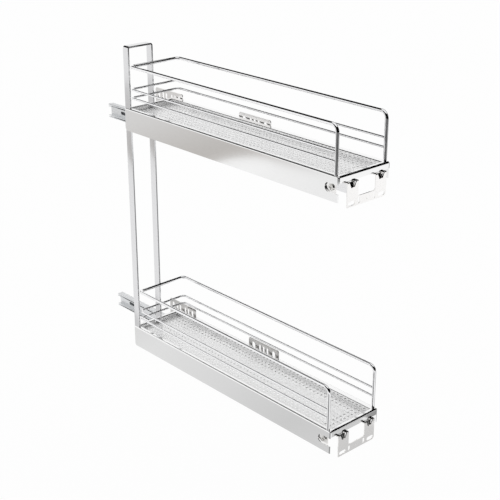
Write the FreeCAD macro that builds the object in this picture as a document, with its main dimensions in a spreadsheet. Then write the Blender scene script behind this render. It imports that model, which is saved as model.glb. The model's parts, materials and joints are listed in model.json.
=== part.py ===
import FreeCAD, Part
import math
import os
import Sketcher

# Two-tier pull-out basket for a narrow base cabinet, in millimetres, drawn part pulled out.
# The origin is the middle of the screw holes of the lower front wall bracket, on the wall face.
# X points to the cabinet wall, Y to the rear and Z up.

os.makedirs("parts", exist_ok=True)
doc = FreeCAD.newDocument("PullOutBasket")
sheet = doc.addObject("Spreadsheet::Sheet", "Sizes")

SIZES = (
    ("tray_width", 108, "outside width of a tray"),
    ("tray_depth", 500, "outside depth of a tray"),
    ("tier_height", 410, "lower rim to upper rim"),
    ("gauge", 1.2, "sheet of the trays and rails"),
    ("plate", 1.5, "plate of the brackets and carriers"),
    ("rim_bend", 2.6, "outer bend of a tray's rim"),
    ("band", 8, "rim band on the left, front and rear"),
    ("wall_band", 12, "rim band on the wall side"),
    ("floor_drop", 8, "rim down to the floor"),
    ("floor_gauge", 1.0, "perforated sheet"),
    ("ledge", 3, "ledge under the floor's edge"),
    ("wide_ledge", 16, "ledge over the carrier"),
    ("front_ledge", 32, "ledge over the door bracket"),
    ("skirt", 39, "height of the left and rear skirts"),
    ("lip", 10.5, "height of the front lip"),
    ("flange", 26, "height of the flange on the wall side"),
    ("corner_cut", 5, "chamfer of the skirt at the rear"),
    ("notch_top", 12.5, "rim down to the skirt's front notch"),
    ("notch_height", 14, "height of the front notch"),
    ("notch_length", 27, "length of the front notch"),
    ("hole_side", 4.4, "side of a hole in the floor"),
    ("hole_rows", 6, "holes across the floor"),
    ("hole_columns", 16, "holes along the floor"),
    ("rail_wire", 5.4, "diameter of the top rail"),
    ("guard_wire", 3.5, "diameter of the guard rails"),
    ("wire_inset", 3, "rim's side to the wires' middle"),
    ("post_inset", 8, "rim's front to the posts' middle"),
    ("gallery_height", 72.5, "rim up to the top rail's middle"),
    ("upper_guard_height", 34, "rim up to the upper guard rail"),
    ("lower_guard_height", 19.5, "rim up to the lower guard rail"),
    ("post_bend", 10, "bend of the top rail at the front"),
    ("rear_bend", 8, "bend of the wires at the rear"),
    ("bar_width", 14, "flat bar of the frame, front to rear"),
    ("bar_gauge", 3, "flat bar of the frame, side to side"),
    ("frame_width", 51.8, "outside width of the frame"),
    ("frame_top", 515.5, "lower rim up to the frame's top"),
    ("frame_foot", 36, "lower rim down to the frame's feet"),
    ("play", 0.3, "gap between pieces that pass each other"),
    ("rail_depth", 12, "width of a runner's section"),
    ("rail_height", 26, "height of the cabinet rail"),
    ("rail_length", 450, "length of the cabinet rail"),
    ("rail_start", 235, "tray's front to the cabinet rail, as drawn"),
    ("drawer_rail_length", 400, "length of the drawer rail"),
    ("drawer_rail_start", 60, "tray's front to the drawer rail"),
    ("middle_height", 18.4, "height of the intermediate rail"),
    ("drawer_rail_height", 10.8, "height of the drawer rail"),
    ("ball", 2.5, "diameter of a ball"),
    ("cage_gauge", 0.6, "strip of the ball cages"),
    ("cage_length", 205, "length of a ball cage"),
    ("outer_cage_start", 355, "tray's front to the outer cages"),
    ("inner_cage_start", 245, "tray's front to the inner cages"),
    ("lower_runner_drop", 28, "lower rim down to its runner"),
    ("upper_runner_drop", 46.5, "upper rim down to its runner"),
    ("wall_gap", 1, "tray's side to the cabinet rail's back"),
    ("bracket_length", 76, "length of a wall bracket"),
    ("front_bracket_y", 268, "tray's front to the lower front bracket"),
    ("bracket_pitch", 224, "front bracket to rear bracket"),
    ("upper_bracket_shift", 24, "upper brackets further to the rear"),
    ("lower_bracket_rise", 12, "lower wall brackets above the rim"),
    ("upper_bracket_rise", 7.5, "upper wall brackets above the rim"),
    ("screw_line", 20, "rim down to the brackets' screw holes"),
    ("screw_pitch", 51, "between a bracket's screw holes"),
    ("screw_radius", 3.2, "screw holes of the wall brackets"),
    ("door_left", 13, "tray's left side to the door bracket"),
    ("door_right", 95, "tray's left side to the door bracket's far edge"),
    ("door_drop", 48, "rim down to the door bracket's foot"),
    ("door_reach", 5, "door bracket's face ahead of the tray"),
    ("door_leg", 23, "width of a leg of the door bracket"),
    ("door_bar", 13.5, "height of the door bracket's lower bar"),
    ("door_corner", 5, "rounding of the door bracket's far foot"),
    ("window_corner", 3, "rounding of the door bracket's window"),
    ("door_slot_length", 14.5, "door bracket's screw slots"),
    ("door_slot_radius", 3.2, "half the height of the screw slots"),
    ("door_slot_inset", 9.5, "door bracket's side to a slot's middle"),
    ("door_slot_rise", 5.2, "door bracket's foot up to the slots"),
    ("tab_length", 34, "tray's front to the end of the tab"),
    ("screw_y", 26, "tray's front to the clamp screws"),
    ("adjuster_y", 15.5, "tray's front to the adjuster screw"),
    ("adjuster_drop", 19, "rim down to the adjuster screw"),
)


class Size:
    """A length as a number together with the spreadsheet expression that gives it."""

    def __init__(self, value, text):
        self.value = value
        self.text = text

    def joined(self, sign, other, value):
        return Size(value, "(" + self.text + sign + size(other).text + ")")

    def __add__(self, other):
        return self.joined(" + ", other, self.value + size(other).value)

    def __sub__(self, other):
        return self.joined(" - ", other, self.value - size(other).value)

    def __mul__(self, other):
        return self.joined(" * ", other, self.value * size(other).value)

    def __truediv__(self, other):
        return self.joined(" / ", other, self.value / size(other).value)

    def __radd__(self, other):
        return size(other) + self

    def __rsub__(self, other):
        return size(other) - self

    def __neg__(self):
        return size(0) - self


def size(value):
    if isinstance(value, Size):
        return value
    return Size(float(value), "(" + format(float(value), ".6f") + ")")


class Dimensions:
    """Every driving dimension by its name."""


dim = Dimensions()
for row, (alias, number, meaning) in enumerate(SIZES, start=1):
    sheet.set("A%d" % row, alias)
    sheet.set("B%d" % row, str(number))
    sheet.set("C%d" % row, meaning)
    sheet.setAlias("B%d" % row, alias)
    setattr(dim, alias, Size(float(number), "Sizes." + alias))
doc.recompute()

# Shared positions, measured from the lower tray's front left rim corner.
wall_face = dim.tray_width + dim.wall_gap + dim.plate
rail_back = dim.tray_width + dim.wall_gap
ORIGIN = (-wall_face, -dim.front_bracket_y, dim.screw_line)
PLANES = {"X": "YZ_Plane", "Y": "XZ_Plane", "Z": "XY_Plane"}


def shifted(across=0, along=0, up=0):
    """A point measured from the lower rim corner, given from the origin."""
    return (ORIGIN[0] + across, ORIGIN[1] + along, ORIGIN[2] + up)


def origin_feature(body, role):
    return next(item for item in body.Origin.OriginFeatures if item.Role == role)


def new_body(label, base):
    body = doc.addObject("PartDesign::Body", label)
    body.Label = label
    for axis, value in zip("xyz", base):
        body.setExpression("Placement.Base." + axis, value.text)
    return body


def new_sketch(body, name, axis, level=0, across=0, up=0):
    """An empty sketch square to an axis; the plane square to Y faces forwards."""
    sketch = body.newObject("Sketcher::SketchObject", name)
    sketch.AttachmentSupport = [(origin_feature(body, PLANES[axis]), "")]
    sketch.MapMode = "FlatFace"
    height = -size(level) if axis == "Y" else size(level)
    for part, value in zip("xyz", (across, up, height)):
        sketch.setExpression("AttachmentOffset.Base." + part, size(value).text)
    return sketch


def vector(point):
    return FreeCAD.Vector(point[0].value, point[1].value, 0)


def bind(sketch, kind, value, *where):
    """Adds a dimension to a sketch and ties it to the spreadsheet."""
    index = sketch.addConstraint(Sketcher.Constraint(kind, *where, value.value))
    sketch.setExpression("Constraints[%d]" % index, value.text)


def pin(sketch, line, end, point):
    """Fixes one end of a line, or a centre, at a point."""
    bind(sketch, "DistanceX", point[0], -1, 1, line, end)
    bind(sketch, "DistanceY", point[1], -1, 1, line, end)


def draw_polygon(sketch, corners):
    corners = [(size(a), size(b)) for a, b in corners]
    first = sketch.GeometryCount
    count = len(corners)
    for index in range(count):
        start, end = corners[index], corners[(index + 1) % count]
        sketch.addGeometry(Part.LineSegment(vector(start), vector(end)), False)
    for index in range(count):
        following = first + (index + 1) % count
        sketch.addConstraint(Sketcher.Constraint("Coincident", first + index, 2, following, 1))
    for index, corner in enumerate(corners):
        pin(sketch, first + index, 1, corner)


def draw_circle(sketch, centre, radius):
    centre = (size(centre[0]), size(centre[1]))
    circle = Part.Circle(vector(centre), FreeCAD.Vector(0, 0, 1), size(radius).value)
    index = sketch.addGeometry(circle, False)
    pin(sketch, index, 3, centre)
    bind(sketch, "Radius", size(radius), index)


def draw_slot(sketch, centre, reach, radius, upright):
    """A slot with round ends; reach is from its middle to the centre of an end."""
    middle = (size(centre[0]), size(centre[1]))
    reach, radius = size(reach), size(radius)
    if upright:
        ends = [(middle[0], middle[1] + reach), (middle[0], middle[1] - reach)]
        turn = 0.0
    else:
        ends = [(middle[0] - reach, middle[1]), (middle[0] + reach, middle[1])]
        turn = math.pi / 2
    corner_points = []
    for index, end in enumerate(ends):
        side = radius if index == 0 else -radius
        if upright:
            corner_points += [(end[0] + side, end[1]), (end[0] - side, end[1])]
        else:
            corner_points += [(end[0], end[1] + side), (end[0], end[1] - side)]
    first = sketch.GeometryCount
    for index, end in enumerate(ends):
        start = turn + index * math.pi
        circle = Part.Circle(vector(end), FreeCAD.Vector(0, 0, 1), radius.value)
        sketch.addGeometry(Part.ArcOfCircle(circle, start, start + math.pi), False)
        following = corner_points[1 + 2 * index], corner_points[(2 + 2 * index) % 4]
        sketch.addGeometry(Part.LineSegment(vector(following[0]), vector(following[1])), False)
    for index, end in enumerate(ends):
        arc, line = first + 2 * index, first + 2 * index + 1
        pin(sketch, line, 1, corner_points[1 + 2 * index])
        pin(sketch, line, 2, corner_points[(2 + 2 * index) % 4])
        sketch.addConstraint(Sketcher.Constraint("Coincident", arc, 2, line, 1))
        sketch.addConstraint(Sketcher.Constraint("Coincident", arc, 1, first + (2 * index + 3) % 4, 2))
        kind, value = ("DistanceY", end[1]) if upright else ("DistanceX", end[0])
        bind(sketch, kind, value, -1, 1, arc, 3)


def prism(body, name, axis, low, high, *shapes, cut=False):
    """A pad or pocket between two levels; each shape is a polygon or a drawing call."""
    low, high = size(low), size(high)
    sketch = new_sketch(body, name + "_sketch", axis, (low + high) / 2)
    for shape in shapes:
        if isinstance(shape, (list, tuple)):
            draw_polygon(sketch, shape)
        else:
            shape(sketch)
    before = body.Tip.Shape.Volume if cut else 0
    feature = body.newObject("PartDesign::Pocket" if cut else "PartDesign::Pad", name)
    feature.Profile = sketch
    feature.SideType = "Symmetric"
    feature.setExpression("Length", (high - low).text)
    body.Tip = feature
    doc.recompute()
    if cut and feature.Shape.Volume > before - 0.01:
        raise RuntimeError(body.Label + ": the cut " + name + " removes nothing")
    return feature


def box(low, high):
    """The four corners of a rectangle."""
    return [(low[0], low[1]), (high[0], low[1]), (high[0], high[1]), (low[0], high[1])]


def round_edges(body, name, radius, axis, places):
    """Rounds the edges along an axis that pass through the given places."""
    base = body.Tip
    others = [index for index in range(3) if index != "XYZ".index(axis)]
    targets = [(size(a).value, size(b).value) for a, b in places]
    names = []
    for number, edge in enumerate(base.Shape.Edges, start=1):
        ends = [vertex.Point for vertex in edge.Vertexes]
        if len(ends) != 2 or not isinstance(edge.Curve, Part.Line):
            continue
        if any(abs(ends[0][index] - ends[1][index]) > 1e-6 for index in others):
            continue
        spot = [ends[0][index] for index in others]
        if any(math.dist(spot, target) < 1e-4 for target in targets):
            names.append("Edge%d" % number)
    if not names:
        raise RuntimeError(body.Label + ": no edge for " + name)
    feature = body.newObject("PartDesign::Fillet", name)
    feature.Base = (base, names)
    feature.setExpression("Radius", size(radius).text)
    body.Tip = feature
    doc.recompute()
    if feature.Shape.isNull():
        raise RuntimeError(body.Label + ": " + name + " can't be rounded")


def turned(body, name, along, across, up, profile, about="V_Axis"):
    """A turned piece: a half profile swept about an axis of its own sketch."""
    sketch = new_sketch(body, name + "_sketch", "Y", along, across, up)
    draw_polygon(sketch, profile)
    feature = body.newObject("PartDesign::Revolution", name)
    feature.Profile = sketch
    feature.ReferenceAxis = (sketch, [about])
    feature.Angle = 360
    body.Tip = feature
    doc.recompute()
    return feature


def repeat(body, name, feature, axis, length, count, second=None):
    """Repeats a feature along one axis, or along two."""
    pattern = body.newObject("PartDesign::LinearPattern", name)
    pattern.Originals = [feature]
    pattern.Direction = (origin_feature(body, axis + "_Axis"), [""])
    pattern.setExpression("Length", size(length).text)
    pattern.setExpression("Occurrences", size(count).text)
    if second is not None:
        axis, length, count = second
        pattern.Direction2 = (origin_feature(body, axis + "_Axis"), [""])
        pattern.setExpression("Length2", size(length).text)
        pattern.setExpression("Occurrences2", size(count).text)
    body.Tip = pattern
    doc.recompute()
    return pattern


def straight_wire(body, name, axis, low, high, centre, wire):
    """A straight run of round wire along an axis."""
    prism(body, name, axis, low, high, lambda sketch: draw_circle(sketch, centre, wire / 2))


def wire_bend(body, name, along, centre, middle, wire, about, backwards):
    """A quarter bend that starts square to Y; the wire's middle is given from the bend's centre."""
    sketch = new_sketch(body, name + "_sketch", "Y", along, *centre)
    draw_circle(sketch, middle, wire / 2)
    feature = body.newObject("PartDesign::Revolution", name)
    feature.Profile = sketch
    feature.ReferenceAxis = (sketch, [about])
    feature.Angle = 90
    feature.Reversed = backwards
    body.Tip = feature
    doc.recompute()


def wire_loop(body, height, front, rear_run, wire):
    """Two side runs of wire joined by a rear run, level all round."""
    left, far, bend = dim.wire_inset, dim.tray_width - dim.wire_inset, dim.rear_bend
    turn = rear_run - bend
    straight_wire(body, "left_run", "Y", front, turn, (left, height), wire)
    wire_bend(body, "left_bend", turn, (left + bend, height), (-bend, 0), wire, "V_Axis", True)
    straight_wire(body, "rear_run", "X", left + bend, far - bend, (rear_run, height), wire)
    wire_bend(body, "right_bend", turn, (far - bend, height), (bend, 0), wire, "V_Axis", False)
    straight_wire(body, "right_run", "Y", front, turn, (far, height), wire)


# Sections of the three rails and the two cages, drawn from the wall side inwards.
middle_web = size(4.8)
drawer_web = dim.rail_depth + dim.play * 2 - dim.gauge
lip_reach = size(2)
rail_half = dim.rail_height / 2
middle_half = dim.middle_height / 2
drawer_half = dim.drawer_rail_height / 2
outer_ball_depth = size(8.5)
inner_ball_depth = size(9.4)
outer_ball_height = (rail_half - dim.gauge + middle_half) / 2
inner_ball_height = (middle_half - dim.gauge + drawer_half) / 2
bend_radius = size(1.5)
stop_inset = size(40)

# Rivets, screws and balls, spaced from the ends of what they hold.
rivet_radius = size(2.5)
rivet_reach = size(22)
rivet_head = size(0.8)
side_screw = size(1.9)
carrier_inset = size(45)
ball_inset = size(12)
ball_columns = 2
ball_profile = [(dim.ball / 2 * math.cos(math.radians(angle)), dim.ball / 2 * math.sin(math.radians(angle)))
                for angle in (-54, -18, 18, 54)]
ball_profile = [(0, -dim.ball / 2)] + ball_profile + [(0, dim.ball / 2)]


def bracket_shift(tier):
    return dim.upper_bracket_shift if tier == "upper" else size(0)


def channel(body, name, low, high, web, mouth, half, sheet_gauge, lip=None):
    """A channel rail along Y: web on the wall side, flanges towards the tray."""
    inner = half - sheet_gauge
    near, far = -web, -mouth
    upper = [(near, half), (far, half)]
    if lip is None:
        upper += [(far, inner)]
    else:
        upper += [(far, half - lip), (far + sheet_gauge, half - lip), (far + sheet_gauge, inner)]
    upper += [(near - sheet_gauge, inner)]
    outline = upper + [(a, -size(b)) for a, b in reversed(upper)]
    prism(body, name, "Y", low, high, outline)


def runner_parts(tier, base):
    """The telescopic runner of one tier: rails, cages and balls."""
    start = dim.rail_start
    end = start + dim.rail_length
    body = new_body(tier + "_cabinet_rail", base)
    channel(body, "section", start, end, size(0), dim.rail_depth, rail_half, dim.gauge, lip_reach)
    places = [(size(0), rail_half), (size(0), -rail_half)]
    places += [(-dim.rail_depth, rail_half), (-dim.rail_depth, -rail_half)]
    round_edges(body, "outer_bends", bend_radius, "Y", places)
    places = [(-dim.gauge, rail_half - dim.gauge), (-dim.gauge, dim.gauge - rail_half)]
    round_edges(body, "inner_bends", 0.6, "Y", places)
    first = dim.front_bracket_y + bracket_shift(tier) - rivet_reach
    hole = prism(body, "rivet_hole", "X", -dim.gauge - 0.5, 0.5,
                 lambda sketch: draw_circle(sketch, (first, 0), rivet_radius + 0.05), cut=True)
    repeat(body, "rivet_holes", hole, "Y", rivet_reach * 2, 2, ("Y", dim.bracket_pitch, 2))

    body = new_body(tier + "_intermediate_rail", base)
    channel(body, "section", start, end, middle_web, dim.rail_depth, middle_half, dim.gauge)
    places = [(-middle_web, middle_half), (-middle_web, -middle_half)]
    round_edges(body, "outer_bends", bend_radius, "Y", places)
    prism(body, "stop_window", "X", -middle_web - dim.gauge - 1, -middle_web + 1,
          lambda sketch: draw_slot(sketch, (start + stop_inset, 0), 7, 3, False),
          lambda sketch: draw_slot(sketch, (end - stop_inset, 0), 7, 3, False), cut=True)

    low = dim.drawer_rail_start
    high = low + dim.drawer_rail_length
    body = new_body(tier + "_drawer_rail", base)
    near = -(drawer_web + dim.gauge)
    inner = drawer_half - dim.gauge
    reach = size(-7.6)
    upper = [(near, drawer_half), (reach, drawer_half), (reach, inner), (near + dim.gauge, inner)]
    prism(body, "section", "Y", low, high, upper + [(a, -size(b)) for a, b in reversed(upper)])
    round_edges(body, "outer_bends", bend_radius, "Y", [(near, drawer_half), (near, -drawer_half)])
    hole = prism(body, "screw_hole", "X", near - 1, near + dim.gauge + 1,
                 lambda sketch: draw_circle(sketch, (low + carrier_inset, 0), side_screw + 0.05), cut=True)
    repeat(body, "screw_holes", hole, "Y", dim.drawer_rail_length - carrier_inset * 2, 2)

    cages = (
        ("outer", size(2.4), size(10), dim.outer_cage_start, outer_ball_height, outer_ball_depth),
        ("inner", size(6.5), size(11), dim.inner_cage_start, inner_ball_height, inner_ball_depth),
    )
    for which, web, mouth, first, ball_height, depth in cages:
        body = new_body(tier + "_" + which + "_ball_cage", base)
        half = ball_height + dim.cage_gauge / 2
        channel(body, "section", first, first + dim.cage_length, web, mouth, half, dim.cage_gauge)
        hole = prism(body, "ball_hole", "Z", -half - 1, half + 1,
                     lambda sketch: draw_circle(sketch, (-depth, first + ball_inset), dim.ball / 2 + 0.1),
                     cut=True)
        repeat(body, "ball_holes", hole, "Y", dim.cage_length - ball_inset * 2, ball_columns)
        body = new_body(tier + "_" + which + "_balls", base)
        ball = turned(body, "ball", first + ball_inset, -depth, -ball_height, ball_profile)
        repeat(body, "balls", ball, "Y", dim.cage_length - ball_inset * 2, ball_columns,
               ("Z", ball_height * 2, 2))


def wall_brackets(tier, base, rise, rail_centre):
    """The slotted plates that hold a cabinet rail, with their rivets."""
    half = dim.bracket_length / 2
    top = dim.screw_line + rise
    foot = dim.screw_line + rail_centre - rail_half - 2
    face = size(0)
    back = -dim.plate
    slots = {
        "front": ((-25.5, 4), (-9.5, 2.5), (0, 2.5), (9.5, 2.5), (25.5, 4)),
        "rear": ((-28, 3), (-16.5, 2.5), (-7.5, 2.5), (7.5, 2.5), (16.5, 2.5), (28, 3)),
    }
    for place, shift in (("front", size(0)), ("rear", dim.bracket_pitch)):
        spot = (base[0], base[1] + shift, base[2])
        body = new_body(tier + "_" + place + "_wall_bracket", spot)
        corners = [(-half, foot), (half, foot), (half, top), (-half, top)]
        prism(body, "plate", "X", back, face, corners)
        round_edges(body, "corners", 4, "X", corners)
        holes = [lambda sketch, y=y: draw_circle(sketch, (y, 0), dim.screw_radius)
                 for y in (-dim.screw_pitch / 2, dim.screw_pitch / 2)]
        prism(body, "screw_holes", "X", back - 1, face + 1, *holes, cut=True)
        cuts = [lambda sketch, y=y, r=r: draw_slot(sketch, (y, top - 11.5), 6 - r, r, True)
                for y, r in slots[place]]
        prism(body, "slots", "X", back - 1, face + 1, *cuts, cut=True)
        rivet_level = dim.screw_line + rail_centre
        holes = [lambda sketch, y=y: draw_circle(sketch, (y, rivet_level), rivet_radius + 0.05)
                 for y in (-rivet_reach, rivet_reach)]
        prism(body, "rivet_holes", "X", back - 1, face + 1, *holes, cut=True)
    body = new_body(tier + "_bracket_rivets", base)
    inner = -dim.plate - dim.gauge
    head = rivet_radius + 1.8
    profile = [(inner - rivet_head, 0), (-0.2, 0), (-0.2, rivet_radius), (inner, rivet_radius),
               (inner, head), (inner - rivet_head, head)]
    rivet = turned(body, "rivet", -rivet_reach, 0, dim.screw_line + rail_centre, profile, "H_Axis")
    repeat(body, "rivets", rivet, "Y", rivet_reach * 2, 2, ("Y", dim.bracket_pitch, 2))


# Where the frame's legs, the clamp screws and the carrier's screws meet a tray.
leg_front = dim.tray_depth - dim.gauge - dim.play - dim.bar_width
clamp_screw = size(2)
clamp_spots = (dim.door_left + 11, dim.door_right - 11)
carrier_screw_x = dim.tray_width - dim.wall_band - dim.wide_ledge / 2 - 2
tray_underside = -(dim.floor_drop + dim.floor_gauge + dim.gauge)


def tray_parts(tier, base):
    """A folded tray with its floor, top rail and guard rails."""
    width, depth, gauge, band = dim.tray_width, dim.tray_depth, dim.gauge, dim.band
    right = width - dim.wall_band
    rear = depth - band
    under = -(dim.floor_drop + dim.floor_gauge)
    body = new_body(tier + "_tray", base)
    prism(body, "block", "Z", -dim.skirt, 0, box((0, 0), (width, depth)))
    upright = [(0, 0), (width, 0), (0, depth), (width, depth)]
    round_edges(body, "corners", dim.rim_bend + 0.2, "Z", upright)
    round_edges(body, "rim_bends", dim.rim_bend, "Y", [(0, 0)])
    prism(body, "hollow", "Z", -dim.skirt - 1, -gauge,
          box((gauge, gauge), (width - gauge, depth - gauge)), cut=True)
    prism(body, "well", "Z", -gauge - 1, 1, box((band, band), (right, rear)), cut=True)
    prism(body, "walls", "Z", under - gauge, -gauge,
          box((band - gauge, band - gauge), (right + gauge, rear + gauge)),
          box((band, band), (right, rear)))
    prism(body, "ledges", "Z", under - gauge, under,
          box((band - gauge, band - gauge), (right + gauge, rear + gauge)),
          box((band + dim.ledge, band + dim.front_ledge), (right - dim.wide_ledge, rear - dim.ledge)))
    prism(body, "front_cut", "Y", -1, gauge + 0.5,
          [(gauge, -dim.lip), (gauge, -dim.skirt - 1), (width + 1, -dim.skirt - 1), (width + 1, -dim.lip)],
          cut=True)
    prism(body, "wall_side_cut", "X", width - gauge * 2, width + 1,
          box((-1, -dim.skirt - 1), (depth + 1, -dim.flange)), cut=True)
    prism(body, "runner_cut", "Y", depth - gauge * 2, depth + 1,
          box((right - 4, -dim.skirt - 1), (width + 1, -dim.flange)), cut=True)
    prism(body, "rear_corner", "X", -1, gauge * 2,
          [(depth + 1, -dim.skirt + dim.corner_cut + 1), (depth + 1, -dim.skirt - 1),
           (depth - dim.corner_cut - 1, -dim.skirt - 1)], cut=True)
    notch_middle = -dim.notch_top - dim.notch_height / 2
    reach = dim.notch_length - dim.notch_height / 2
    prism(body, "notch", "X", -1, gauge + 0.5,
          lambda sketch: draw_slot(sketch, (0, notch_middle), reach, dim.notch_height / 2, False), cut=True)
    for place, left in (("left", dim.gauge), ("right", dim.gauge + dim.frame_width - dim.bar_gauge)):
        prism(body, place + "_leg_slot", "Z", under - gauge - 1, 1,
              box((left - (0 if place == "left" else dim.play), leg_front - dim.play),
                  (left + dim.bar_gauge + dim.play, leg_front + dim.bar_width + dim.play)), cut=True)
    holes = [lambda sketch, x=x: draw_circle(sketch, (x, dim.screw_y), clamp_screw + 0.05)
             for x in clamp_spots]
    prism(body, "clamp_holes", "Z", under - gauge - 1, under + 1, *holes, cut=True)
    hole = prism(body, "carrier_hole", "Z", under - gauge - 1, under + 1,
                 lambda sketch: draw_circle(sketch, (carrier_screw_x, dim.drawer_rail_start + carrier_inset),
                                            side_screw + 0.05), cut=True)
    repeat(body, "carrier_holes", hole, "Y", dim.drawer_rail_length - carrier_inset * 2, 2)

    body = new_body(tier + "_perforated_floor", base)
    edge = size(0.1)
    prism(body, "sheet", "Z", under, -dim.floor_drop,
          box((band + edge, band + edge), (right - edge, rear - edge)))
    prism(body, "leg_notch", "Z", under - 1, -dim.floor_drop + 1,
          box((dim.gauge + dim.frame_width - dim.bar_gauge - dim.play, leg_front - dim.play),
              (dim.gauge + dim.frame_width + dim.play, depth)), cut=True)
    first_x = band + 8
    first_y = band + 10
    hole = prism(body, "hole", "Z", under - 1, -dim.floor_drop + 1,
                 box((first_x, first_y), (first_x + dim.hole_side, first_y + dim.hole_side)), cut=True)
    repeat(body, "holes", hole, "X", right - band - 16 - dim.hole_side, dim.hole_rows,
           ("Y", depth - band * 2 - 36 - dim.hole_side, dim.hole_columns))

    body = new_body(tier + "_top_rail", base)
    left, far, wire = dim.wire_inset, width - dim.wire_inset, dim.rail_wire
    post, bend, top = dim.post_inset, dim.post_bend, dim.gallery_height
    wire_loop(body, top, post + bend, leg_front - wire / 2, wire)
    for place, across in (("left", left), ("right", far)):
        wire_bend(body, place + "_post_bend", post + bend, (across, top - bend), (0, bend),
                  wire, "H_Axis", False)
        straight_wire(body, place + "_post", "Z", 0, top - bend, (across, post), wire)

    front = dim.post_inset + dim.rail_wire / 2
    for name, height in (("upper", dim.upper_guard_height), ("lower", dim.lower_guard_height)):
        body = new_body(tier + "_" + name + "_guard_rail", base)
        wire_loop(body, height, front, leg_front - dim.guard_wire / 2, dim.guard_wire)


def carrier_parts(tier, base, rail_centre):
    """The angle that hangs a tray on its drawer rail, with its screws."""
    inside = rail_back - drawer_web - dim.gauge
    first = dim.drawer_rail_start
    last = first + dim.drawer_rail_length
    plate = dim.plate
    foot = rail_centre - drawer_half
    flange_edge = carrier_screw_x - 7
    body = new_body(tier + "_rail_carrier", base)
    prism(body, "angle", "Y", first, last,
          [(inside, foot), (inside, tray_underside), (flange_edge, tray_underside),
           (flange_edge, tray_underside - plate), (inside - plate, tray_underside - plate),
           (inside - plate, foot)])
    round_edges(body, "outer_bend", 2, "Y", [(inside, tray_underside)])
    row = first + carrier_inset
    run = dim.drawer_rail_length - carrier_inset * 2
    hole = prism(body, "side_hole", "X", inside - plate - 1, inside + 1,
                 lambda sketch: draw_circle(sketch, (row, rail_centre), side_screw + 0.05), cut=True)
    repeat(body, "side_holes", hole, "Y", run, 2)
    hole = prism(body, "tray_hole", "Z", tray_underside - plate - 1, tray_underside + 1,
                 lambda sketch: draw_circle(sketch, (carrier_screw_x, row), side_screw + 0.05), cut=True)
    repeat(body, "tray_holes", hole, "Y", run, 2)

    body = new_body(tier + "_carrier_screws", base)
    head = side_screw * 1.9
    seat = -plate
    profile = [(0, seat - 1.8), (head, seat - 1.8), (head, seat), (side_screw, seat),
               (side_screw, dim.gauge), (0, dim.gauge)]
    screw = turned(body, "tray_screw", row, carrier_screw_x, tray_underside, profile)
    repeat(body, "tray_screws", screw, "Y", run, 2)
    profile = [(seat - 1.8, 0), (dim.gauge + 0.8, 0), (dim.gauge + 0.8, side_screw), (seat, side_screw),
               (seat, head), (seat - 1.8, head)]
    screw = turned(body, "side_screw", row, inside, rail_centre, profile, "H_Axis")
    repeat(body, "side_screws", screw, "Y", run, 2)


adjuster_radius = size(2.5)


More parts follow.
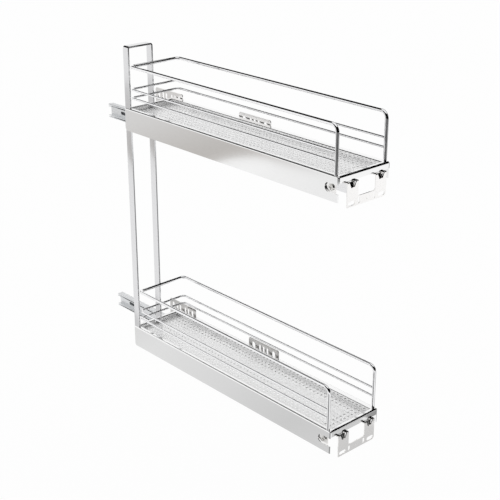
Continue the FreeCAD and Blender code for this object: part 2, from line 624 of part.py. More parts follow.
def door_parts(tier, base):
    """The bracket that carries the cabinet door, with its adjuster and clamp screws."""
    plate = dim.plate
    left, right, foot = dim.door_left, dim.door_right, -dim.door_drop
    face = -dim.door_reach
    top = -dim.lip - dim.play
    arm = dim.gauge + 1.3
    arm_foot = -dim.adjuster_drop - 8
    arm_front = dim.door_left - 5
    body = new_body(tier + "_door_bracket", base)
    prism(body, "face", "Y", face, face + plate, box((left, foot), (right, top)))
    round_edges(body, "foot_corner", dim.door_corner, "Y", [(right, foot)])
    prism(body, "tab", "Z", top - plate, top,
          [(left, face), (right, face), (right, dim.tab_length), (arm, dim.tab_length),
           (arm, arm_front), (left, arm_front)])
    prism(body, "arm", "X", arm, arm + plate, box((arm_front, arm_foot), (dim.tab_length, top)))
    round_edges(body, "face_bend", 1.2, "X", [(face, top)])
    leg = dim.door_leg
    bar_top = foot + dim.door_bar
    prism(body, "window", "Y", face - 1, face + plate + 0.5,
          box((left + leg, bar_top), (right - leg, top + 1)), cut=True)
    round_edges(body, "window_corners", dim.window_corner, "Y",
                [(left + leg, bar_top), (right - leg, bar_top)])
    prism(body, "tab_window", "Z", top - plate - 1, top + 1,
          box((left + leg, face - 1), (right - leg, 14)), cut=True)
    for name, middle in (("left_hook", left + leg / 2), ("right_hook", right - leg / 2)):
        prism(body, name, "Y", face - 1, face + plate + 3,
              [(middle - 8, top + 1), (middle - 3.5, top - 9),
               (middle + 3.5, top - 9), (middle + 8, top + 1)], cut=True)
    slot_y = foot + dim.door_slot_rise
    reach = dim.door_slot_length / 2 - dim.door_slot_radius
    slots = [lambda sketch, x=x: draw_slot(sketch, (x, slot_y), reach, dim.door_slot_radius, False)
             for x in (left + dim.door_slot_inset, right - dim.door_slot_inset)]
    prism(body, "screw_slots", "Y", face - 1, face + plate + 1, *slots, cut=True)
    slots = [lambda sketch, x=x: draw_slot(sketch, (x, foot + 6.5), 2.75, 1.75, True)
             for x in (left + leg + 1.5, right - leg - 1.5)]
    centre = (left + right) / 2
    slots.append(lambda sketch: draw_circle(sketch, (centre, foot + 5), 1.1))
    prism(body, "bar_slots", "Y", face - 1, face + plate + 1, *slots, cut=True)
    slots = [lambda sketch, x=x: draw_slot(sketch, (x, dim.screw_y), 2.5, clamp_screw + 0.4, True)
             for x in clamp_spots]
    prism(body, "clamp_slots", "Z", top - plate - 1, top + 1, *slots, cut=True)
    prism(body, "adjuster_hole", "X", arm - 1, arm + plate + 1,
          lambda sketch: draw_circle(sketch, (dim.adjuster_y, -dim.adjuster_drop), adjuster_radius + 0.05),
          cut=True)

    body = new_body(tier + "_adjuster_screw", base)
    head = size(5.2)
    outer = size(0.4)
    profile = [(outer, 0), (arm + plate + 5, 0), (arm + plate + 5, adjuster_radius), (arm, adjuster_radius),
               (arm, head), (outer + 0.8, head), (outer, head - 0.8)]
    turned(body, "screw", dim.adjuster_y, 0, -dim.adjuster_drop, profile, "H_Axis")
    across, y, z = size(0.7), dim.adjuster_y, -dim.adjuster_drop
    arm_length = size(3.2)
    cross = [(y - across, z - arm_length), (y + across, z - arm_length), (y + across, z - across),
             (y + arm_length, z - across), (y + arm_length, z + across), (y + across, z + across),
             (y + across, z + arm_length), (y - across, z + arm_length), (y - across, z + across),
             (y - arm_length, z + across), (y - arm_length, z - across), (y - across, z - across)]
    prism(body, "cross_recess", "X", outer - 1, outer + 1.4, cross, cut=True)

    body = new_body(tier + "_clamp_screws", base)
    seat = top - plate - dim.play
    head = clamp_screw * 2
    level = tray_underside + dim.gauge
    profile = [(0, seat - 2), (head, seat - 2), (head, seat), (clamp_screw, seat),
               (clamp_screw, level), (0, level)]
    screw = turned(body, "screw", dim.screw_y, clamp_spots[0], 0, profile)
    repeat(body, "screws", screw, "X", clamp_spots[1] - clamp_spots[0], 2)


def rear_frame():
    """The upright frame of flat bar that ties the two trays together."""
    body = new_body("rear_frame", shifted())
    left = dim.gauge
    right = left + dim.frame_width
    bar = dim.bar_gauge
    top, foot = dim.frame_top, -dim.frame_foot
    prism(body, "bar", "Y", leg_front, leg_front + dim.bar_width,
          [(left, foot), (left, top), (right, top), (right, foot), (right - bar, foot),
           (right - bar, top - bar), (left + bar, top - bar), (left + bar, foot)])
    round_edges(body, "outer_bends", 4.5, "Y", [(left, top), (right, top)])
    round_edges(body, "inner_bends", 1.5, "Y", [(left + bar, top - bar), (right - bar, top - bar)])


tiers = (
    ("lower", size(0), dim.lower_runner_drop, dim.lower_bracket_rise),
    ("upper", dim.tier_height, dim.upper_runner_drop, dim.upper_bracket_rise),
)
for tier, height, runner_drop, rise in tiers:
    rail_centre = -runner_drop - rail_half
    tray_base = shifted(up=height)
    runner_parts(tier, shifted(rail_back, up=height + rail_centre))
    bracket_y = dim.front_bracket_y + bracket_shift(tier)
    wall_brackets(tier, shifted(wall_face, bracket_y, height - dim.screw_line), rise, rail_centre)
    tray_parts(tier, tray_base)
    carrier_parts(tier, tray_base, rail_centre)
    door_parts(tier, tray_base)
rear_frame()
doc.recompute()

bodies = [item for item in doc.Objects if item.TypeId == "PartDesign::Body"]
for item in doc.Objects:
    if "Invalid" in item.State or "Error" in item.State:
        raise RuntimeError(item.Label + " has the state " + ", ".join(item.State))
for body in bodies:
    if body.Shape.isNull() or not body.Shape.isValid():
        raise RuntimeError(body.Label + " has no valid shape")
    body.Shape.exportStep("parts/" + body.Label + ".step")
print(len(bodies), "pieces")
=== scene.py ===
import json
import math

import bpy
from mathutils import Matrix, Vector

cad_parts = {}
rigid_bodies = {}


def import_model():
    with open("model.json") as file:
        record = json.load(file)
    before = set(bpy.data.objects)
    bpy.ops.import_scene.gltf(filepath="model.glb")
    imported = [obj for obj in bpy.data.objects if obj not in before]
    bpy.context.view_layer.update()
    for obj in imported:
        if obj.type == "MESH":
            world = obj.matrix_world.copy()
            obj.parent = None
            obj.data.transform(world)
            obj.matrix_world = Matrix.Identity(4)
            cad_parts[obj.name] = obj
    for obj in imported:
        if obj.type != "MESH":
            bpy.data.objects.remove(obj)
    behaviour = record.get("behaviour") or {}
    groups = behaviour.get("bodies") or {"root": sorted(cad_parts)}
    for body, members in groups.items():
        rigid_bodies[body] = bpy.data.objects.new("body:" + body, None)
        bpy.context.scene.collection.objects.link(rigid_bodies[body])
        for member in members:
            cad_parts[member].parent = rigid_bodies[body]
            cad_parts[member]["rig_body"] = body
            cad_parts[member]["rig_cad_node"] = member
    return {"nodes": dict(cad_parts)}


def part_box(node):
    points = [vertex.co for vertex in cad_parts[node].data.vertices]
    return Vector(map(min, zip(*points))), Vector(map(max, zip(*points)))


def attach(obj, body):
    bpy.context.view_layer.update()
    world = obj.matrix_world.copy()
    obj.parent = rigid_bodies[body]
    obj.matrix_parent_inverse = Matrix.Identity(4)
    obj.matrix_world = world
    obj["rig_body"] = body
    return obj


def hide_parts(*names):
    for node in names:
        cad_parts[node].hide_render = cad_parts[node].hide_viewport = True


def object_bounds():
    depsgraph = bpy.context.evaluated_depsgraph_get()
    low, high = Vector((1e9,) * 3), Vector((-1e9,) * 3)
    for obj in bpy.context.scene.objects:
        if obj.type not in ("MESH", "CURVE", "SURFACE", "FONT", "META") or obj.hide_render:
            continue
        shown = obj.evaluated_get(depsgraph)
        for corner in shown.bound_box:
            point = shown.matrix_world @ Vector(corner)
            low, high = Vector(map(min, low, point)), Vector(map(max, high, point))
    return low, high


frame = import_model()
cad_box = [list(corner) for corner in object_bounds()]


# Wall brackets
# A front and a rear plate for each tier, pressed from 1.5 mm steel with a row of slots, and
# screwed to the cabinet's side wall. They are nickel-plated alike; the lower pair's darker tone
# is painted shade, and the upper pair's lighter tone is painted light.
class Shade:
    """A shader socket that takes part in sums like a number."""

    def __init__(self, finish, socket):
        self.finish = finish
        self.socket = socket

    def joined(self, operation, first, second):
        return self.finish.add("ShaderNodeMath", {"operation": operation}, {0: first, 1: second})

    def __add__(self, other):
        return self.joined("ADD", self, other)

    def __sub__(self, other):
        return self.joined("SUBTRACT", self, other)

    def __rsub__(self, other):
        return self.joined("SUBTRACT", other, self)

    def __mul__(self, other):
        return self.joined("MULTIPLY", self, other)

    __radd__ = __add__
    __rmul__ = __mul__


class Finish:
    """A surface finish, built from nodes on its own shader."""

    def __init__(self, name, metallic=1.0):
        self.material = bpy.data.materials.new(name)
        self.material.use_nodes = True
        self.tree = self.material.node_tree
        self.shader = self.tree.nodes["Principled BSDF"]
        self.set("Metallic", metallic)
        self.place = self.add("ShaderNodeTexCoord", output="Object")

    def add(self, kind, settings=None, inputs=None, output=0):
        """Adds a node: its settings first, then the values or links of its sockets."""
        node = self.tree.nodes.new(kind)
        for name, value in (settings or {}).items():
            if name == "stops":
                marks = node.color_ramp.elements
                while len(marks) < len(value):
                    marks.new(0.5)
                for mark, (position, colour) in zip(marks, value):
                    mark.position = position
                    mark.color = (*colour, 1)
            else:
                setattr(node, name, value)
        for socket, value in (inputs or {}).items():
            self.feed(node.inputs[socket], value)
        return Shade(self, node.outputs[output])

    def feed(self, socket, value):
        """Links a socket to a shade, or sets it to a value."""
        if isinstance(value, Shade):
            self.tree.links.new(value.socket, socket)
        else:
            socket.default_value = value

    def set(self, name, value):
        """Feeds one of the shader's own sockets."""
        self.feed(self.shader.inputs[name], value)

    def shine(self, shader):
        """Shows another shader in place of the finish's own one."""
        self.feed(self.tree.nodes["Material Output"].inputs["Surface"], shader)

    def noise(self, size, detail=2.0, stretch=(1, 1, 1)):
        """Soft noise from 0 to 1; size is the width of its blotches in metres."""
        turned = self.add("ShaderNodeMapping", inputs={"Vector": self.place, "Scale": stretch})
        inputs = {"Vector": turned, "Scale": 1 / size, "Detail": detail}
        return self.add("ShaderNodeTexNoise", inputs=inputs, output="Fac")

    def between(self, factor, first, second):
        """A colour that runs from the first to the second as the factor rises."""
        inputs = {"Factor": factor, "A": (*first, 1), "B": (*second, 1)}
        return self.add("ShaderNodeMix", {"data_type": "RGBA"}, inputs, "Result")

    def plated(self, dark, bright, roughness, spread, drift):
        """Tone and gloss that drift softly over the metal."""
        self.set("Base Color", self.between(drift, dark, bright))
        self.set("Roughness", drift * spread + (roughness - spread / 2))

    def grained(self, height):
        """A grain a hundredth of a millimetre deep."""
        inputs = {"Height": height, "Distance": 0.00001}
        self.set("Normal", self.add("ShaderNodeBump", inputs=inputs, output="Normal"))


def only(piece):
    """Makes a piece the one selected and active object."""
    bpy.ops.object.select_all(action="DESELECT")
    piece.select_set(True)
    bpy.context.view_layer.objects.active = piece


def dress(piece, finish):
    """Gives a piece one finish all over."""
    piece.data.materials.clear()
    piece.data.materials.append(finish.material)


smooth_turn = math.radians(35)


def eased(node, finish, width, body, fold=None):
    """A copy of a CAD node with its sharp edges eased, so that they catch the light."""
    same_place = 0.000004
    flat_turn = math.radians(0.5)
    sharp_turn = math.radians(40)
    source = frame["nodes"][node]
    piece = source.copy()
    piece.data = source.data.copy()
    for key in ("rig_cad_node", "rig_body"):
        if key in piece:
            del piece[key]
    piece.parent = None
    piece.name = node + "_eased"
    bpy.context.scene.collection.objects.link(piece)
    dress(piece, finish)
    only(piece)
    bpy.ops.object.mode_set(mode="EDIT")
    bpy.ops.mesh.select_all(action="SELECT")
    bpy.ops.mesh.customdata_custom_splitnormals_clear()
    bpy.ops.mesh.remove_doubles(threshold=same_place)
    bpy.ops.mesh.dissolve_limited(angle_limit=flat_turn)
    if fold:
        fold(piece)
    bpy.ops.object.mode_set(mode="OBJECT")
    bevel = piece.modifiers.new("eased edges", "BEVEL")
    bevel.width = width
    bevel.segments = 2
    bevel.limit_method = "ANGLE"
    bevel.angle_limit = sharp_turn
    bpy.ops.object.modifier_apply(modifier=bevel.name)
    bpy.ops.object.shade_smooth_by_angle(angle=smooth_turn)
    flat = piece.modifiers.new("flat faces", "WEIGHTED_NORMAL")
    flat.keep_sharp = True
    flat.weight = 100
    bpy.ops.object.modifier_apply(modifier=flat.name)
    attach(piece, body)
    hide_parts(node)


pressed_edge = 0.0003
# The lower tier's darker tones are painted shade, and the upper tier's lighter tones are painted
# light.
for tier, dark, bright in (("lower", (0.54, 0.53, 0.52), (0.62, 0.61, 0.60)),
                           ("upper", (0.80, 0.79, 0.78), (0.88, 0.87, 0.86))):
    wall_nickel_painted_light = Finish(tier + "_wall_nickel")
    wall_nickel_painted_light.plated(dark, bright, roughness=0.10, spread=0.04, drift=wall_nickel_painted_light.noise(0.012))
    wall_nickel_painted_light.grained(wall_nickel_painted_light.noise(0.0018, detail=3.0))
    for plate in ("front_wall_bracket", "rear_wall_bracket"):
        eased(tier + "_" + plate, wall_nickel_painted_light, pressed_edge, "cabinet_side")


# Cabinet rails and their rivets
# The fixed outer rail of each runner, roll-formed from zinc-plated strip with inward lips. Four
# steel rivets hold it to its two wall brackets.
def coat(node, finish):
    """Gives a CAD node its finish."""
    piece = frame["nodes"][node]
    dress(piece, finish)


along_strip = (1, 0.02, 1)
zinc_rail = Finish("zinc_rail")
rolled = zinc_rail.noise(0.0012, detail=3.0, stretch=along_strip)
zinc_rail.plated((0.68, 0.69, 0.70), (0.78, 0.79, 0.80), roughness=0.30, spread=0.12, drift=rolled)
zinc_rail.grained(rolled)
rivet_steel = Finish("rivet_steel")
rivet_steel.plated((0.58, 0.58, 0.59), (0.66, 0.66, 0.67), roughness=0.34, spread=0.10,
                   drift=rivet_steel.noise(0.002))
for tier in ("lower", "upper"):
    coat(tier + "_cabinet_rail", zinc_rail)
    coat(tier + "_bracket_rivets", rivet_steel)


# Intermediate and drawer rails
# The sliding rails of each runner, of the same rolled strip. The ball tracks are polished by use,
# so these two are a little brighter than the rail that holds them.
sliding_rail = Finish("sliding_rail")
drawn = sliding_rail.noise(0.0009, detail=3.0, stretch=along_strip)
sliding_rail.plated((0.66, 0.67, 0.68), (0.78, 0.79, 0.80), roughness=0.24, spread=0.10,
                    drift=drawn)
sliding_rail.grained(drawn)
for tier in ("lower", "upper"):
    for rail in ("intermediate_rail", "drawer_rail"):
        coat(tier + "_" + rail, sliding_rail)


# Ball cages and balls
# Thin stamped strips that keep the balls apart between two rails, and the hardened balls
# themselves, which are ground and have a film of grease.
cage_steel = Finish("cage_steel")
cage_steel.plated((0.52, 0.52, 0.50), (0.62, 0.62, 0.60), roughness=0.36, spread=0.12,
                  drift=cage_steel.noise(0.004))
bearing_steel = Finish("bearing_steel")
bearing_steel.plated((0.72, 0.72, 0.74), (0.80, 0.80, 0.82), roughness=0.08, spread=0.04,
                     drift=bearing_steel.noise(0.001))
for tier in ("lower", "upper"):
    for stage in ("outer", "inner"):
        coat(tier + "_" + stage + "_ball_cage", cage_steel)
        coat(tier + "_" + stage + "_balls", bearing_steel)


# Carriers and their screws
# A folded steel angle hangs each tray on its drawer rail. Two screws go up into the tray and two
# go sideways into the rail.
carrier_steel = Finish("carrier_steel")
carrier_steel.plated((0.82, 0.82, 0.83), (0.90, 0.90, 0.91), roughness=0.22, spread=0.08,
                     drift=carrier_steel.noise(0.01))
screw_steel = Finish("screw_steel")
screw_steel.plated((0.72, 0.71, 0.69), (0.82, 0.81, 0.79), roughness=0.18, spread=0.08,
                   drift=screw_steel.noise(0.0015))
for tier in ("lower", "upper"):
    coat(tier + "_rail_carrier", carrier_steel)
    coat(tier + "_carrier_screws", screw_steel)


# Trays
# Folded from one sheet and chromed: a hollow rim round the floor, a tall skirt on the left and
# rear, and a low lip in front over the door bracket. The sheet is all but flat.
chrome_sheet = Finish("chrome_sheet")
wavy = chrome_sheet.noise(0.12, detail=1.0, stretch=(1, 0.3, 1))
chrome_sheet.plated((0.90, 0.90, 0.90), (0.94, 0.94, 0.94), roughness=0.07, spread=0.04,
                    drift=wavy)
folded_edge = 0.0004
tray_bend = 0.0018
rim_band = 0.008
wall_rim_band = 0.012


def fold_rim(piece, tier):
    """Rounds the bends from the rim down to the floor, and its wall-side and front edges."""
    near = 0.00005
    low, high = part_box(tier + "_tray")
    sides = ((0, low.x + rim_band), (0, high.x - wall_rim_band), (0, high.x),
             (1, low.y + rim_band), (1, high.y - rim_band), (1, low.y))
    bpy.ops.mesh.select_mode(type="EDGE")
    bpy.ops.mesh.select_all(action="DESELECT")
    bpy.ops.object.mode_set(mode="OBJECT")
    corners = piece.data.vertices
    for edge in piece.data.edges:
        ends = [corners[index].co for index in edge.vertices]
        on_top = all(abs(end.z - high.z) < near for end in ends)
        edge.select = on_top and any(all(abs(end[axis] - side) < near for end in ends)
                                     for axis, side in sides)
    bpy.ops.object.mode_set(mode="EDIT")
    bpy.ops.mesh.bevel(offset=tray_bend, segments=4, affect="EDGES", clamp_overlap=True)


for tier in ("lower", "upper"):
    eased(tier + "_tray", chrome_sheet, folded_edge, "pullout",
          fold=lambda piece: fold_rim(piece, tier))


# Perforated floors
# A thin chromed sheet with rows of small round holes, laid on the ledge inside the rim.
# One square of sheet with its hole is made, and then repeated along and across.
hole_pitch = 0.0084
hole_radius = 0.0019
plain_strips = 0.003
floor_sheet = Finish("floor_sheet", metallic=0.25)
floor_sheet.plated((0.88, 0.88, 0.88), (0.94, 0.94, 0.94), roughness=0.26, spread=0.06,
                   drift=floor_sheet.noise(0.03))


def take_corners(piece, chosen):
    """Selects the corners of a mesh for which chosen(place) is true."""
    bpy.ops.mesh.select_mode(type="VERT")
    bpy.ops.mesh.select_all(action="DESELECT")
    bpy.ops.object.mode_set(mode="OBJECT")
    for vertex in piece.data.vertices:
        vertex.select = chosen(vertex.co)
    bpy.ops.object.mode_set(mode="EDIT")


def along(axis, reach):
    """A move along one axis."""
    return [reach if index == axis else 0 for index in range(3)]


def thicken(piece, thickness):
    """Gives a sheet its thickness, behind the face that is drawn."""
    depth = piece.modifiers.new("thickness", "SOLIDIFY")
    depth.thickness = thickness
    depth.offset = -1
    bpy.ops.object.modifier_apply(modifier=depth.name)


def hole_square(name):
    """One square of sheet round the origin, with its hole."""
    bpy.ops.object.select_all(action="DESELECT")
    bpy.ops.mesh.primitive_grid_add(x_subdivisions=4, y_subdivisions=4, size=hole_pitch)
    piece = bpy.context.object
    piece.name = name
    bpy.ops.object.mode_set(mode="EDIT")
    inside = hole_pitch * 0.45
    take_corners(piece, lambda place: max(abs(place.x), abs(place.y)) < inside)
    bpy.ops.mesh.delete(type="VERT")
    bpy.ops.mesh.select_all(action="SELECT")
    bpy.ops.mesh.extrude_edges_move(TRANSFORM_OT_translate={"value": (0, 0, 0)})
    bpy.ops.transform.tosphere(value=1)
    bpy.ops.object.mode_set(mode="OBJECT")
    ring = [vertex.co.length for vertex in piece.data.vertices if vertex.select]
    bpy.ops.object.mode_set(mode="EDIT")
    shrink = hole_radius / ring[0]
    bpy.ops.transform.resize(value=(shrink, shrink, 1))
    bpy.ops.object.mode_set(mode="OBJECT")
    return piece


def perforated_sheet(name, low, high):
    """A sheet with round holes all over, between two corners."""
    same_place = 0.00002
    near = 0.0001
    counts = [int((high[axis] - low[axis] - plain_strips) / hole_pitch) for axis in (0, 1)]
    piece = hole_square(name)
    for axis, count in enumerate(counts):
        rows = piece.modifiers.new("rows", "ARRAY")
        rows.count = count
        rows.use_relative_offset = False
        rows.use_constant_offset = True
        rows.constant_offset_displace = along(axis, hole_pitch)
        rows.use_merge_vertices = True
        rows.merge_threshold = same_place
        bpy.ops.object.modifier_apply(modifier=rows.name)
    first = [(low[axis] + high[axis] - (counts[axis] - 1) * hole_pitch) / 2 for axis in (0, 1)]
    piece.location = (first[0], first[1], high[2])
    bpy.ops.object.transform_apply(location=True, rotation=True, scale=True)
    bpy.ops.object.mode_set(mode="EDIT")
    for axis in (0, 1):
        margin = (high[axis] - low[axis] - counts[axis] * hole_pitch) / 2
        for side, edge in ((-1, low[axis]), (1, high[axis])):
            take_corners(piece, lambda place: abs(place[axis] - edge) < margin + near)
            bpy.ops.transform.translate(value=along(axis, side * margin))
    bpy.ops.mesh.select_all(action="SELECT")
    bpy.ops.mesh.normals_make_consistent(inside=False)
    bpy.ops.object.mode_set(mode="OBJECT")
    if piece.data.polygons[0].normal.z < 0:
        bpy.ops.object.mode_set(mode="EDIT")
        bpy.ops.mesh.flip_normals()
        bpy.ops.object.mode_set(mode="OBJECT")
    thicken(piece, high[2] - low[2])
    bpy.ops.object.shade_smooth_by_angle(angle=smooth_turn)
    return piece


# The frame's right leg stands in a slot that is open at the sheet's rear edge.
bar_thickness = 0.003
leg_play = 0.0006
slot_length = 0.033
slot_setback = 0.002
cutter_height = 0.02
frame_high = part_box("rear_frame")[1]
for tier in ("lower", "upper"):
    low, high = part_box(tier + "_perforated_floor")
    sheet = perforated_sheet(tier + "_floor_sheet", low, high)
    bpy.ops.object.select_all(action="DESELECT")
    slot_place = (frame_high.x - bar_thickness / 2, frame_high.y - slot_setback, high.z)
    bpy.ops.mesh.primitive_cube_add(size=1, location=slot_place)
    slot_cutter = bpy.context.object
    slot_cutter.scale = (bar_thickness + leg_play, slot_length, cutter_height)
    only(sheet)
    cut = sheet.modifiers.new("leg slot", "BOOLEAN")
    cut.object = slot_cutter
    cut.solver = "EXACT"
    bpy.ops.object.modifier_apply(modifier=cut.name)
    bpy.data.objects.remove(slot_cutter)
    dress(sheet, floor_sheet)
    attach(sheet, "pullout")
    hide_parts(tier + "_perforated_floor")


# Galleries
# Each tray has a top rail of 5.4 mm wire, bent down into two front posts, and two guard rails of
# 3.5 mm wire welded to the posts. All of it is bright chromed.
chrome_wire = Finish("chrome_wire")
chrome_wire.plated((0.90, 0.90, 0.91), (0.95, 0.95, 0.96), roughness=0.04, spread=0.02,
                   drift=chrome_wire.noise(0.03))
for tier in ("lower", "upper"):
    for rail in ("top_rail", "upper_guard_rail", "lower_guard_rail"):
        coat(tier + "_" + rail, chrome_wire)


# Rear frame
# One flat bar, 14 by 3 mm, bent into an upright loop and chromed. Both trays and their galleries
# are welded to it, so it carries the upper tray with the lower one.
chrome_bar = Finish("chrome_bar")
chrome_bar.plated((0.70, 0.70, 0.71), (0.80, 0.80, 0.81), roughness=0.10, spread=0.05,
                  drift=chrome_bar.noise(0.02, stretch=(1, 1, 0.1)))
bar_edge = 0.0005
eased("rear_frame", chrome_bar, bar_edge, "pullout")


# Door brackets and their screws
# A pressed and nickel-plated plate under each lip, to which the cabinet door is screwed. Two
# tongues are pressed in at the tops of its legs. Two clamp screws hold it and one adjusts it.
door_nickel = Finish("door_nickel")
door_nickel.plated((0.93, 0.92, 0.91), (0.97, 0.96, 0.95), roughness=0.10, spread=0.04,
                   drift=door_nickel.noise(0.01))
screw_edge = 0.0007
lip_height = 0.0108
leg_middle = 0.0245
tongue_height = 0.0085
tongue_width = 0.0165
tongue_narrowing = 0.5
tongue_thickness = 0.001
tongue_lean = math.radians(24)
tongue_foot = 0.0092
tongue_setback = 0.0012


def pressed_tongue(name, foot):
    """A tongue that is narrow at its foot and leans back from there."""
    bpy.ops.object.select_all(action="DESELECT")
    bpy.ops.mesh.primitive_plane_add(size=1)
    tongue = bpy.context.object
    tongue.name = name
    bpy.ops.object.mode_set(mode="EDIT")
    bpy.ops.transform.resize(value=(tongue_width, tongue_height, 1))
    take_corners(tongue, lambda place: place.y < 0)
    bpy.ops.transform.resize(value=(tongue_narrowing, 1, 1))
    bpy.ops.object.mode_set(mode="OBJECT")
    half = tongue_height / 2
    tongue.rotation_euler = (math.radians(90) - tongue_lean, 0, 0)
    tongue.location = (foot[0], foot[1] + half * math.sin(tongue_lean),
                       foot[2] + half * math.cos(tongue_lean))
    bpy.ops.object.transform_apply(location=True, rotation=True, scale=True)
    thicken(tongue, tongue_thickness)
    dress(tongue, door_nickel)
    return tongue


for tier in ("lower", "upper"):
    body = tier + "_door_bracket"
    eased(tier + "_door_bracket", door_nickel, pressed_edge, body)
    coat(tier + "_clamp_screws", screw_steel)
    eased(tier + "_adjuster_screw", screw_steel, screw_edge, tier + "_adjuster")
    tray_low, tray_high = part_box(tier + "_tray")
    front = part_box(tier + "_door_bracket")[0].y
    for side, across in (("left", tray_low.x + leg_middle), ("right", tray_high.x - leg_middle)):
        foot = (across, front + tongue_setback, tray_high.z - lip_height - tongue_foot)
        tongue = pressed_tongue(tier + "_" + side + "_tongue", foot)
        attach(tongue, body)


# Studio
# A pale floor far below, a white surround and a soft even light. Grey and dark cards stand out of
# the camera's sight, where bright metal mirrors them: they draw its edges and shade its faces.
floor_drop = 0.25
floor_width = 24
floor_whiteness = 0.93
floor_level = cad_box[0][2] - floor_drop
floor_paint = Finish("studio_floor", metallic=0.0)
floor_paint.set("Base Color", (0.85, 0.85, 0.85, 1))
floor_paint.set("Roughness", 1.0)
floor_paint.set("Specular IOR Level", 0.0)
rays = floor_paint.add("ShaderNodeLightPath").socket.node
seen, mirrored, through = [Shade(floor_paint, rays.outputs[kind]) for kind in
                           ("Is Camera Ray", "Is Glossy Ray", "Is Transmission Ray")]
floor_glow = floor_paint.add("ShaderNodeEmission", inputs={"Color": (1, 1, 1, 1), "Strength": 1.0})
matt_floor = Shade(floor_paint, floor_paint.shader.outputs["BSDF"])
floor_paint.shine(floor_paint.add("ShaderNodeMixShader", inputs={
    0: (seen + mirrored + through) * floor_whiteness, 1: matt_floor, 2: floor_glow}))
bpy.ops.object.select_all(action="DESELECT")
bpy.ops.mesh.primitive_plane_add(size=floor_width, location=(0, 0, floor_level))
studio_floor = bpy.context.object
studio_floor.name = "studio_floor"
dress(studio_floor, floor_paint)


def hung(card, name, tones, axis=1):
    """Gives a card its tones along an axis, and hides it from all but mirrored light."""
    card.name = name
    glow = Finish(name, metallic=0.0)
    first, last = tones[0][0], tones[-1][0]
    place = glow.add("ShaderNodeSeparateXYZ", inputs={"Vector": glow.place}, output="XYZ"[axis])
    share = (place - first) * (1 / (last - first))
    stops = [((mark - first) / (last - first), tone) for mark, tone in tones]
    colour = glow.add("ShaderNodeValToRGB", {"stops": stops}, {"Fac": share}, "Color")
    glow.shine(glow.add("ShaderNodeEmission", inputs={"Color": colour, "Strength": 1.0}))
    dress(card, glow)
    for kind in ("camera", "diffuse", "shadow", "transmission"):
        setattr(card, "visible_" + kind, False)


def floor_card(name, low, high, tones, rise=0.01, rounded=False):
    """A level card just over the floor, between two corners."""
    bpy.ops.object.select_all(action="DESELECT")
    if rounded:
        bpy.ops.mesh.primitive_circle_add(vertices=64, radius=0.5, fill_type="NGON")
    else:
        bpy.ops.mesh.primitive_plane_add(size=1)
    card = bpy.context.object
    card.scale = (high[0] - low[0], high[1] - low[1], 1)
    card.location = ((low[0] + high[0]) / 2, (low[1] + high[1]) / 2, floor_level + rise)
    bpy.ops.object.transform_apply(location=True, rotation=True, scale=True)
    hung(card, name, tones)


def grey(level, warmth=0.0):
    """A grey as it looks on a screen, as the light that a card gives off."""
    return [((shade + 0.055) / 1.055) ** 2.4 for shade in (level + warmth, level, level - warmth)]


# What the skirts mirror, from front to rear, and the pale round-ended shape on the upper one.
floor_card("upper_skirt_card", (-1.95, 0.75), (-1.25, 2.75), (
    (0.75, grey(0.98)), (1.25, grey(0.92)), (1.48, grey(0.80, 0.010)), (1.66, grey(0.735, 0.014)),
    (1.85, grey(0.78, 0.010)), (2.15, grey(0.84, 0.005)), (2.75, grey(0.88))))
floor_card("pale_card", (-1.61, 0.60), (-1.25, 1.47), (
    (0.6, grey(0.98)), (1.1, grey(0.95)), (1.47, grey(0.985))), rise=0.012)
floor_card("pale_card_end", (-1.61, 1.37), (-1.33, 1.57), (
    (1.37, grey(0.99)), (1.57, grey(0.99))), rise=0.013, rounded=True)
floor_card("lower_skirt_card", (-0.50, 0.0), (-0.392, 1.0), (
    (0.0, grey(0.84)), (0.15, grey(0.82)), (0.35, grey(0.87)), (0.6, grey(0.90)),
    (1.0, grey(0.82))))
# What the lower posts, the lower door bracket and the frame's legs mirror.
floor_card("lower_post_card", (-0.95, -0.75), (-0.40, 0.0), (
    (-0.75, grey(0.56)), (0.0, grey(0.60))))
floor_card("lower_door_card", (0.05, -0.75), (0.33, -0.42), (
    (-0.75, grey(0.86)), (-0.42, grey(0.78))))
floor_card("leg_card", (0.34, -1.45), (1.2, -0.42), ((-1.45, grey(0.60)), (-0.42, grey(0.60))))

front_left = (-0.105, -0.27)
inner_ring = 1.60
outer_ring = 1.62
band_foot = -0.13
band_waist = 0.14


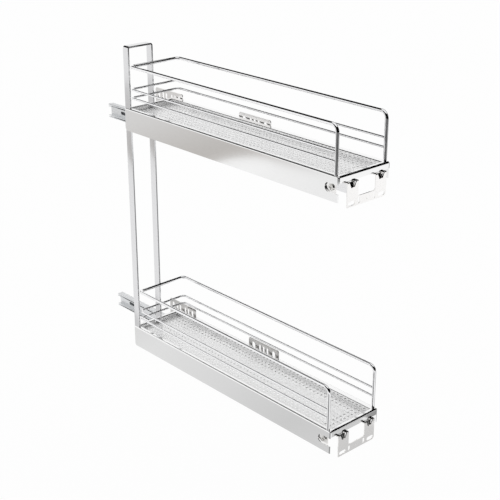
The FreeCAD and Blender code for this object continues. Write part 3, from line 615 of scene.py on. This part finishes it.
def wall_card(name, radius, low, high, first, last, tone):
    """An upright curved card round the unit, between two bearings from the rear to the right."""
    bpy.ops.object.select_all(action="DESELECT")
    bpy.ops.mesh.primitive_cylinder_add(vertices=120, radius=radius, depth=high - low,
                                        end_fill_type="NOTHING")
    card = bpy.context.object
    bpy.ops.object.mode_set(mode="EDIT")
    middle, reach = (first + last) / 2, (last - first) / 2

    def outside(place):
        bearing = math.degrees(math.atan2(place.x, place.y))
        return abs((bearing - middle + 180) % 360 - 180) > reach

    take_corners(card, outside)
    bpy.ops.mesh.delete(type="VERT")
    bpy.ops.object.mode_set(mode="OBJECT")
    card.location = (front_left[0], front_left[1], (low + high) / 2)
    bpy.ops.object.transform_apply(location=True, rotation=True, scale=True)
    hung(card, name, ((low, grey(tone)), (high, grey(tone))), axis=2)


# The dark band high behind and to the right draws the tops of wires and rims, and the one in
# front the pressed tongues. The low ones draw the posts, with a gap for the skirt, and are paler
# on the camera's side, where the skirt mirrors them in a view from the left. A card's corners
# stand every 3 degrees, so two bearings that overlap by a degree meet at one corner.
wall_card("rear_band", inner_ring, 1.06, 2.5, -58, 124, tone=0.04)
wall_card("front_band", inner_ring, 0.08, 2.0, 105, 165, tone=0.04)
wall_card("camera_side_band", outer_ring, band_waist, 2.2, 142, 302, tone=0.05)
wall_card("low_right_band", outer_ring, band_foot, band_waist, -8, 124, tone=0.05)
wall_card("low_front_band", outer_ring, band_foot, band_waist, 142, 213.5, tone=0.25)
wall_card("low_camera_band", outer_ring, band_foot, band_waist, 212.5, 246.5, tone=0.52)
wall_card("low_left_band", outer_ring, band_foot, band_waist, 245.5, 302, tone=0.36)

world = bpy.data.worlds.new("studio")
world.use_nodes = True
bpy.context.scene.world = world
surround = world.node_tree.nodes["Background"]
surround.inputs["Color"].default_value = (1, 1, 1, 1)
surround.inputs["Strength"].default_value = 1.0


# Camera
# The photograph is taken from the front left, a little above the upper tray, with a long lens.
# The eye's place is from the origin, which is on the cabinet wall at the lower front bracket.
camera_bearing = -42.27
camera_dip = 22.32
lens = bpy.data.cameras.new("camera")
lens.lens = 79.69
lens.sensor_width = 36
lens.clip_end = 60
camera = bpy.data.objects.new("camera", lens)
camera.location = (-1.18149, -1.26316, 0.91897)
camera.rotation_euler = (math.radians(90 - camera_dip), 0, math.radians(camera_bearing))
bpy.context.scene.collection.objects.link(camera)
bpy.context.scene.camera = camera
bpy.context.scene.view_settings.view_transform = "Standard"
